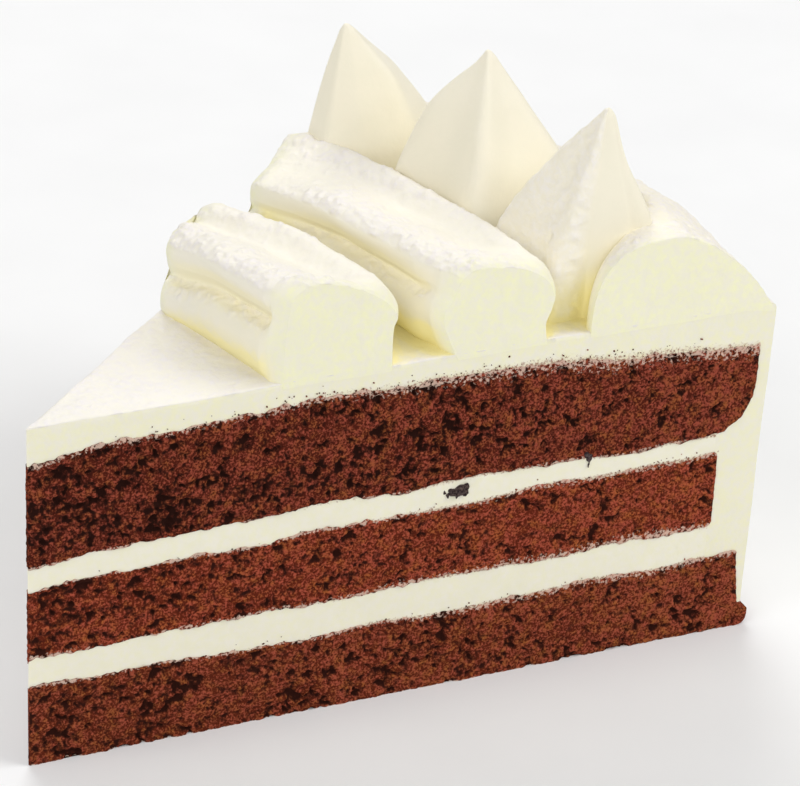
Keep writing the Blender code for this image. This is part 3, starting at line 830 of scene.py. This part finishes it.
def border(look):
    """The cream border along the rim, steep inside and gently sloping outside."""
    piece, x, v, z = stock("cream_border", look, (100, 290, 36), BORDER_CROWDING)
    across, up = section(x, z, lambda share: box_outline(180 * share))
    crest = between(BORDER_CREST_AT_CUT, BORDER_CREST, smooth(v, *BORDER_NOTCH))
    outside = across > 0
    off = np.minimum(1, np.abs(across))
    outer_up = np.sqrt(np.maximum(0, 1 - off ** (2 / BORDER_BOXINESS)))
    full_up = np.where(outer_up > 1e-6, outer_up ** BORDER_BOXINESS, 0)
    level = np.where(full_up > 1e-6, up / np.maximum(full_up, 1e-6), 0)
    rise = np.where(outside, (1 - off ** BORDER_SLOPE) * held(level), up)
    r = crest + across * np.where(outside, BORDER_OUTER - crest, crest - border_inner(v))
    near_cut = off_cut(v, r)
    length, depth = CUT_ROUNDING
    sink = round_corner(depth, near_cut / length)
    foot = PIPED_FOOT + BORDER_FLOOR * smooth(across, 0.7, 1)
    height = BORDER_HEIGHT * (1 - BORDER_DROP * smooth(v, 0.3, 0.62))
    points = place(r, v, face_at(COAT_TOP, r, v) - foot + rise * (height + foot - sink))
    points[:, 2] += wave(points, *BORDER_SWELL) * held(rise * 3) * np.minimum(1, near_cut / (2 * MM))
    lay_cut(piece, points, v, PIPED_RECESS)
    powder_on(piece, 1.0, 0.18 * MM, 93)
    cut_mark(piece, near_cut, 2.2 * MM)
    hand_over(piece, "cream_border", "cream_border")
    return piece


def ridge_reach(angle, ridges):
    """How far out a peak's face lies: a little hollow from ridge to ridge."""
    turns = sorted(ridges)
    angle = turns[0] + (angle - turns[0]) % 360
    reach = np.zeros_like(angle)
    for first, last in zip(turns, (*turns[1:], turns[0] + 360)):
        here, after = ridges[first], ridges[last if last in ridges else turns[0]]
        faces_here = (angle >= first) & (angle <= last)
        below = here * np.sin(np.radians(angle - first)) + after * np.sin(np.radians(last - angle))
        chord = here * after * math.sin(math.radians(last - first)) / np.maximum(below, 1e-9)
        sunk = PEAK_HOLLOW * smooth(last - first, 50, 70)
        hollow = 1 - sunk * np.sin(np.pi * held((angle - first) / (last - first))) ** 2
        reach = np.where(faces_here, chord * hollow, reach)
    return reach


def soft_reach(angle, ridges):
    """The same with rounded ridges: the mean over a few degrees."""
    turns = np.linspace(-11, 11, 9)
    weights = np.cos(np.radians(turns * 90 / 13))
    return sum(weight * ridge_reach(angle + turn, ridges) for turn, weight in zip(turns, weights)) / weights.sum()


def near_turn(angle, middle, width, reach):
    """1 round a direction and 0 beyond the width by a share, all in degrees."""
    off = np.abs((np.degrees(angle) - middle + 180) % 360 - 180)
    return 1 - smooth(off, width * 0.75, width * reach)


def peak(name, look, fences, radius, v, top, ridges, lip=None, dusted=None):
    """A ridged peak pulled up to a point and pressed against what is beside it."""
    shape = bmesh.new()
    bmesh.ops.create_cone(shape, cap_ends=True, segments=190, radius1=1, radius2=0, depth=1)
    rising = [e for e in shape.edges if abs(e.verts[0].co.z - e.verts[1].co.z) > 0.5]
    bmesh.ops.subdivide_edges(shape, edges=rising, cuts=119)
    piece = piece_from(shape, "slice_" + name, look)
    cone = points_of(piece)
    down = 0.5 - cone[:, 2]
    drop = down * (top - face_at(COAT_TOP, radius, v))
    angle = np.arctan2(cone[:, 1], cone[:, 0])
    depth = np.sqrt(drop / (PEAK_DEPTHS[-1] * MM))
    profiles = {
        turn: along_curve(np.tile(np.array(mm) * MM, (len(drop), 1))[:, :, None], depth)[:, 0]
        for turn, mm in ridges.items()
    }
    out = soft_reach(np.degrees(angle), profiles)
    out += PEAK_TIP_ROUNDING * np.sqrt(held(drop / (1.2 * MM)))
    under_lip_shade = sugared = np.zeros_like(out)
    if lip:
        limit = lip["reach"] + 12 * MM * (1 - near_turn(angle, lip["middle"], lip["width"], 1.5))
        over = np.log1p(np.exp(np.clip((out - limit) / lip["softness"], -30, 30))) * lip["softness"]
        out = out - over
        # Painted shade under the folded lip
        under_lip_shade = smooth(over, 0.5 * MM, 3.5 * MM)
    if dusted:
        sugared = near_turn(angle, dusted["middle"], dusted["width"], 1)
    at_v = np.clip(v + out * np.sin(angle) / (radius * SLICE_ANGLE), fences[0], fences[1])
    rope_side = ring_middle(OUTER_ROPE, at_v) + OUTER_ROPE["half_width"]
    r = np.minimum(np.maximum(radius + out * np.cos(angle), rope_side - 1.5 * MM), BORDER_INNER + 4 * MM)
    floor = face_at(COAT_TOP, r, at_v) - PEAK_FOOT
    move_points(piece, place(r, at_v, floor + (1 - down) * (top - floor)))
    turn_out(piece, CREAM_EDGE)
    points = points_of(piece)
    lift = wave(points, *PEAK_SWELL) * np.minimum(1, drop / (4 * MM))
    move_points(piece, points + points_of(piece, "normal") * lift[:, None])
    powder_on(piece, 0.25, 0.05 * MM, 103, always=0.75 * sugared, lift_there=0.2 * MM)
    paint(piece, "cut", np.zeros(len(points)))
    paint(piece, "under_lip_shade", under_lip_shade)
    hand_over(piece, "cream_peaks", name)
    return piece


# Crumbs

def add_lump(shape, r, v, z, sunk, turn, sizes, rounds):
    """Adds a lump that is sunk a little into a cut. Turn gives an angle and its axis."""
    spot = place(r, v, z) - out_of_cut(v) * sunk
    move = Matrix.Translation(Vector(spot)) @ Matrix.Rotation(turn[0], 4, turn[1]) @ Matrix.Diagonal((*sizes, 1))
    bmesh.ops.create_icosphere(shape, subdivisions=rounds, radius=1, matrix=move)


def lumps(shape, name, look, pore_shade_and_tone, *rough):
    """All lumps as one piece, their skin made rough by swells."""
    piece = piece_from(shape, name, look)
    points = points_of(piece)
    for depth, size, seed in rough:
        points += depth * swells(points, size, seed)
    move_points(piece, points)
    turn_out(piece, CREAM_EDGE)
    # For lumps this number is only the crumb's darker tone, with no shade
    paint(piece, "pore_shade_and_tone", np.full(len(points), pore_shade_and_tone))
    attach(piece, "root")


def crumbs(look):
    """Loose crumbs that the knife dragged into the cream of both cuts."""
    rng = np.random.default_rng(7)
    spots = []
    for edge, spread, count in LOOSE_CRUMBS:
        for _ in range(count):
            r = (6 + 94 * rng.random() ** 0.6) * MM
            lift = abs(rng.normal()) * spread * 0.6
            spots.append((r, float(rng.integers(0, 2)), edge, lift, (0.06 + 0.09 * rng.random() ** 2) * MM))
    shape = bmesh.new()
    for r, v, edge, lift, size in spots:
        z = face_at(edge, r, v) + lift
        turn = (rng.random() * 6.28, "Z")
        sizes = (size * (0.8 + rng.random()), size, size * (0.6 + rng.random() * 0.8))
        add_lump(shape, r, v, z, 0.08 * MM, turn, sizes, 1)
    lumps(shape, "slice_crumbs", look, 0.5, (0.12 * MM, 0.5 * MM, 111))


def dragged_crumbs(look):
    """Darker lumps that the knife dragged into the upper filling of the near cut."""
    shape = bmesh.new()
    for r, z, size, long, tilt in DRAGGED_CRUMBS:
        sizes = (size * long * MM, size * MM * 0.7, size * MM)
        add_lump(shape, r * MM, 0.0, z * MM, 0.3 * size * MM, (math.radians(tilt), "Y"), sizes, 4)
    lumps(shape, "slice_dragged_crumbs", look, 0.3, (0.28 * MM, 0.7 * MM, 121), (0.10 * MM, 0.3 * MM, 124))


# Materials

def start_material(name):
    """A new material, its nodes, its shader and its place on the piece."""
    made = bpy.data.materials.new(name)
    made.use_nodes = True
    tree = made.node_tree
    return made, tree, tree.nodes["Principled BSDF"], node(tree, "TexCoord").outputs["Object"]


def node(tree, kind, **values):
    """A node with its settings and values."""
    made = tree.nodes.new("ShaderNode" + kind)
    for key, value in values.items():
        if hasattr(made, key):
            setattr(made, key, value)
        else:
            made.inputs[key].default_value = value
    return made


def noise(tree, where, scale, detail=2, roughness=0.6):
    """Soft noise over the piece, scale in swells for each metre."""
    made = node(tree, "TexNoise", Scale=scale, Detail=detail, Roughness=roughness)
    tree.links.new(where, made.inputs["Vector"])
    return made.outputs["Fac"]


def mapped(tree, value, low, high, to_low=0.0, to_high=1.0):
    """A number moved from one range to another."""
    made = node(tree, "MapRange")
    for socket, number in zip(made.inputs[1:5], (low, high, to_low, to_high)):
        socket.default_value = number
    tree.links.new(value, made.inputs["Value"])
    return made.outputs["Result"]


def mixed(tree, share, first, second):
    """Two colours mixed by a share. A colour may be a socket or numbers."""
    made = node(tree, "Mix", data_type="RGBA")
    for place_in, value in ((0, share), (6, first), (7, second)):
        if isinstance(value, tuple):
            made.inputs[place_in].default_value = (*value, 1)
        else:
            tree.links.new(value, made.inputs[place_in])
    return made.outputs[2]


def figured(tree, kind, first, second):
    """A sum, product or the like of two sockets."""
    made = node(tree, "Math", operation=kind)
    tree.links.new(first, made.inputs[0])
    tree.links.new(second, made.inputs[1])
    return made.outputs[0]


def marked(tree, name):
    """A number kept on the piece's points."""
    return node(tree, "Attribute", attribute_name=name).outputs["Fac"]


def finish(tree, shader, base, rough, gloss, grain=None, strength=0.0, depth=0.0):
    """Gives the shader its colour, roughness, gloss and fine grain."""
    tree.links.new(base, shader.inputs["Base Color"])
    shader.inputs["Roughness"].default_value = rough
    shader.inputs["Specular IOR Level"].default_value = gloss
    if grain:
        bump = node(tree, "Bump", Strength=strength, Distance=depth)
        tree.links.new(grain, bump.inputs["Height"])
        tree.links.new(bump.outputs["Normal"], shader.inputs["Normal"])


def sponge_look(name):
    """Dry chocolate crumb of many browns. Its pores and low spots are darkened as painted shade, and it is painted
    lighter towards the rim as painted light.
    """
    painted_shade, mid, light, warm_light = CRUMB_COLOURS[name]
    made, tree, shader, where = start_material(name)
    pore_shade_and_tone = marked(tree, "pore_shade_and_tone")
    speck = noise(tree, where, 3000)
    grain = noise(tree, where, 1500)
    blotch = noise(tree, where, 190, 3, 0.6)
    # Painted light: the crumb is painted lighter towards the rim, along +X
    along = node(tree, "SeparateXYZ")
    tree.links.new(where, along.inputs[0])
    painted_light_towards_rim = mapped(tree, along.outputs[0], -0.05, 0.05, -0.10, 0.14)
    tone = mapped(tree, speck, 0.36, 0.64, -0.3, 0.66)
    for more in (mapped(tree, grain, 0.32, 0.68, -0.26, 0.52), mapped(tree, blotch, 0.3, 0.7, -0.18, 0.22), painted_light_towards_rim):
        tone = figured(tree, "ADD", tone, more)
    warm = noise(tree, where, 620, 2, 0.5)
    bright = mixed(tree, mapped(tree, warm, 0.42, 0.7), light, warm_light)
    base = mixed(tree, tone, mid, bright)
    pore_shade_and_tone = figured(tree, "ADD", pore_shade_and_tone, mapped(tree, grain, 0.3, 0.7, 0.16, -0.16))
    # The painted light also takes away painted shade towards the rim
    pore_shade_and_tone = figured(tree, "SUBTRACT", pore_shade_and_tone, painted_light_towards_rim)
    # Darkest colour where painted shade and darker tone lie
    base = mixed(tree, mapped(tree, pore_shade_and_tone, 0.26, 0.8), base, painted_shade)
    fleck = noise(tree, where, 1900)
    frosted = figured(tree, "ADD", marked(tree, "frost"), mapped(tree, fleck, 0.35, 0.65, -1.0, 0.1))
    base = mixed(tree, mapped(tree, frosted, 0.2, 0.6, 0, 0.75), base, FLECK)
    finish(tree, shader, base, 0.95, 0.03, speck, 0.6, 0.25 * MM)
    return made


def cream_look(name):
    """Whipped cream, ivory where it is cut and white under icing sugar."""
    cut, face, sugar, rough = CREAM_COLOURS[name]
    made, tree, shader, where = start_material(name)
    powder = marked(tree, "powder")
    cloud = noise(tree, where, 260, 3, 0.55)
    grain = noise(tree, where, 1100, 4, 0.65)
    dapple = noise(tree, where, 900)
    half_sugared = tuple(0.5 * a + 0.5 * b for a, b in zip(cut, sugar))
    clouded = tuple(a * b for a, b in zip(face, CREAM_CLOUD))
    base = mixed(tree, marked(tree, "cut"), face, mixed(tree, mapped(tree, dapple, 0.35, 0.65), cut, half_sugared))
    base = mixed(tree, mapped(tree, cloud, 0.3, 0.7, 0.0, 0.35), base, clouded)
    covered = figured(tree, "MULTIPLY", powder, mapped(tree, grain, 0.4, 0.6, 0.3, 1.0))
    base = mixed(tree, covered, base, sugar)
    # Painted shade: warm yellow in hollows between walls, in creases and under a peak's lip
    base = mixed(tree, mapped(tree, marked(tree, "painted_shade"), 0, 1, 0, 0.85), base, CREAM_PAINTED_SHADE)
    smear = marked(tree, "smear")
    base = mixed(tree, mapped(tree, smear, 0.45, 1, 0, 0.4), base, CREAM_TINGE)
    speck = noise(tree, where, 2600)
    smeared = figured(tree, "ADD", smear, mapped(tree, speck, 0.35, 0.65, -1.2, -0.25))
    base = mixed(tree, mapped(tree, smeared, 0, 0.5, 0, 0.85), base, SMEARED_CRUMB)
    sugar_grain = figured(tree, "MULTIPLY", grain, mapped(tree, powder, 0, 1, 0.3, 1.0))
    finish(tree, shader, base, rough, 0.3, sugar_grain, 0.5, 0.4 * MM)
    return made


def floor_look():
    """Plain white paper."""
    made, tree, shader, where = start_material("white_paper")
    fibre = noise(tree, where, 40, 2, 0.5)
    finish(tree, shader, mixed(tree, mapped(tree, fibre, 0.3, 0.7), (0.86, 0.86, 0.86), (0.88, 0.88, 0.88)), 0.9, 0.1)
    return made


# Studio

def camera():
    """The photo's camera."""
    data = bpy.data.cameras.new("camera")
    data.lens = 159.09
    data.sensor_fit = "HORIZONTAL"
    data.clip_start = 0.05
    data.clip_end = 20
    made = bpy.data.objects.new("camera", data)
    right = (0.70886547, -0.70410323, 0.04181373)
    up = (0.30614951, 0.36054311, 0.88106818)
    back = (-0.6354386, -0.61175756, 0.47113742)
    turned = Matrix((right, up, back)).transposed().to_4x4()
    made.matrix_world = Matrix.Translation((-0.30850, -0.31042, 0.27240)) @ turned
    bpy.context.scene.collection.objects.link(made)
    bpy.context.scene.camera = made


def lamp(name, place_at, aim, width, power):
    """A soft square light that looks at a point."""
    data = bpy.data.lights.new(name, "AREA")
    data.shape = "SQUARE"
    data.size = width
    data.energy = power
    made = bpy.data.objects.new(name, data)
    direction = Vector(aim) - Vector(place_at)
    made.matrix_world = Matrix.Translation(place_at) @ direction.to_track_quat("-Z", "Y").to_matrix().to_4x4()
    bpy.context.scene.collection.objects.link(made)


def studio():
    """Floor, soft lights and an even white surround."""
    shape = bmesh.new()
    bmesh.ops.create_grid(shape, x_segments=8, y_segments=8, size=2)
    floor = piece_from(shape, "floor", floor_look())
    world = bpy.data.worlds.new("surround")
    world.use_nodes = True
    surround = world.node_tree.nodes["Background"].inputs
    surround["Color"].default_value = (1, 1, 1, 1)
    surround["Strength"].default_value = 0.25
    bpy.context.scene.world = world
    lamp("key", (0.34, -0.42, 0.48), (0.02, 0, 0.03), 0.45, 2.5)
    lamp("back", (0.3, 0.5, 0.6), (0, 0, 0.03), 0.5, 3.1)
    lamp("fill", (-0.7, -0.5, 0.45), (0, 0, 0.03), 0.6, 2.5)
    lamp("left", (-0.6, 0.1, 0.6), (0, 0, 0.03), 0.5, 1.9)
    bpy.context.scene.view_settings.view_transform = "Standard"


def build():
    """The whole slice and its studio."""
    camera()
    studio()
    crumb = {name: sponge_look(name) for name in CRUMB_COLOURS if name.startswith("crumb")}
    cream = {name: cream_look(name) for name in CREAM_COLOURS}

    sponge("sponge_bottom", crumb["crumb_bottom"], BASE, BOTTOM_SPONGE_TOP, bottom_end, (540, 10, 60), 1,
           frost=(1.3 * MM, 0.01 * MM))
    sponge("sponge_middle", crumb["crumb_middle"], MIDDLE_SPONGE_BOTTOM, MIDDLE_SPONGE_TOP, middle_end,
           (510, 10, 54), 2, frost=(1.0 * MM, 1.5 * MM))
    sponge("sponge_top", crumb["crumb_top"], TOP_SPONGE_BOTTOM, TOP_SPONGE_TOP, top_end, (540, 10, 72), 3,
           frost=(2.6 * MM, 0.5 * MM), band=0.2)
    filling("filling_lower", cream["filling_cream"], BOTTOM_SPONGE_TOP, MIDDLE_SPONGE_BOTTOM)
    filling("filling_upper", cream["filling_cream"], MIDDLE_SPONGE_TOP, TOP_SPONGE_BOTTOM)
    top_pieces = [
        coat(cream["coat_cream"]),
        rope("cream_rope_inner", cream["piped_cream"], INNER_SECTIONS, INNER_ROPE),
        rope("cream_rope_outer", cream["piped_cream"], OUTER_SECTIONS, OUTER_ROPE),
        border(cream["border_cream"]),
    ]
    for order, (name, sizes) in enumerate(PEAKS.items()):
        top_pieces.append(peak(name, cream["peak_cream"], PEAK_FENCES[order:order + 2], **sizes))
    paint_shade_in_hollows(top_pieces)
    crumbs(crumb["crumb_top"])
    dragged_crumbs(sponge_look("dragged_crumb"))


build()
